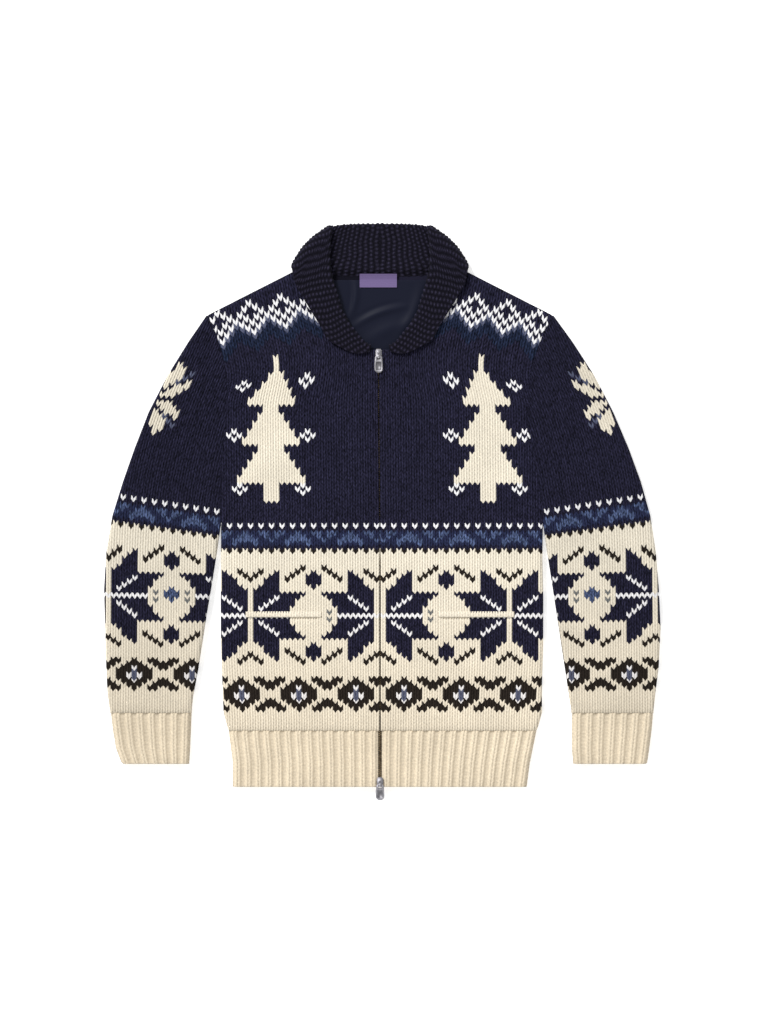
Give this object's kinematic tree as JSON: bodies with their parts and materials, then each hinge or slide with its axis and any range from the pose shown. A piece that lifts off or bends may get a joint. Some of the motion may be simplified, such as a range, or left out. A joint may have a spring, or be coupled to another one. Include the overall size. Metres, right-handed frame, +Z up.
{
  "type": "fair isle zip cardigan, laid flat",
  "caption": "Knitted cardigan with a shawl collar, zip front, long sleeves, ribbed cuffs and hem, laid flat on its back on a surface.",
  "frame": {"origin": "on the underside of the back panel, on the zip line, level with the chest", "axes": "+X towards the wearer's left, +Y towards the collar, +Z up from the surface it lies on"},
  "size_m": [0.7628, 0.7909, 0.02],
  "materials": {
    "pattern_knit": "chunky wool stocking stitch, matt",
    "rib_knit": "wool rib, matt",
    "collar_knit": "wool garter stitch, matt",
    "lining_satin": "smooth satin",
    "label_weave": "woven ribbon, bare",
    "zip_tape": "woven tape",
    "zip_metal": "antique nickel"
  },
  "bodies": {
    "garment": {"back": "pattern_knit", "front_left": "pattern_knit", "front_right": "pattern_knit", "sleeve_left": "pattern_knit", "sleeve_right": "pattern_knit", "cuff_left": "rib_knit", "cuff_right": "rib_knit", "hem_back": "rib_knit", "hem_front_left": "rib_knit", "hem_front_right": "rib_knit", "collar": "collar_knit", "neck_lining": "lining_satin", "label": "label_weave", "pocket_welt_left": "pattern_knit", "pocket_welt_right": "pattern_knit", "zip_tape_left": "zip_tape", "zip_tape_right": "zip_tape", "slider_top": "zip_metal", "slider_bottom": "zip_metal"},
    "top_pull": {"pull_top": "zip_metal"},
    "bottom_pull": {"pull_bottom": "zip_metal"}
  },
  "joints": [
    {"name": "top_pull_hinge", "type": "hinge", "parent": "garment", "child": "top_pull", "pos_m": [-0.00191, 0.2115, 0.0155], "axis": [-1, 0, 0], "range_deg": [0, 115]},
    {"name": "bottom_pull_hinge", "type": "hinge", "parent": "garment", "child": "bottom_pull", "pos_m": [0, -0.375, 0.0155], "axis": [-1, 0, 0], "range_deg": [0, 130]}
  ]
}
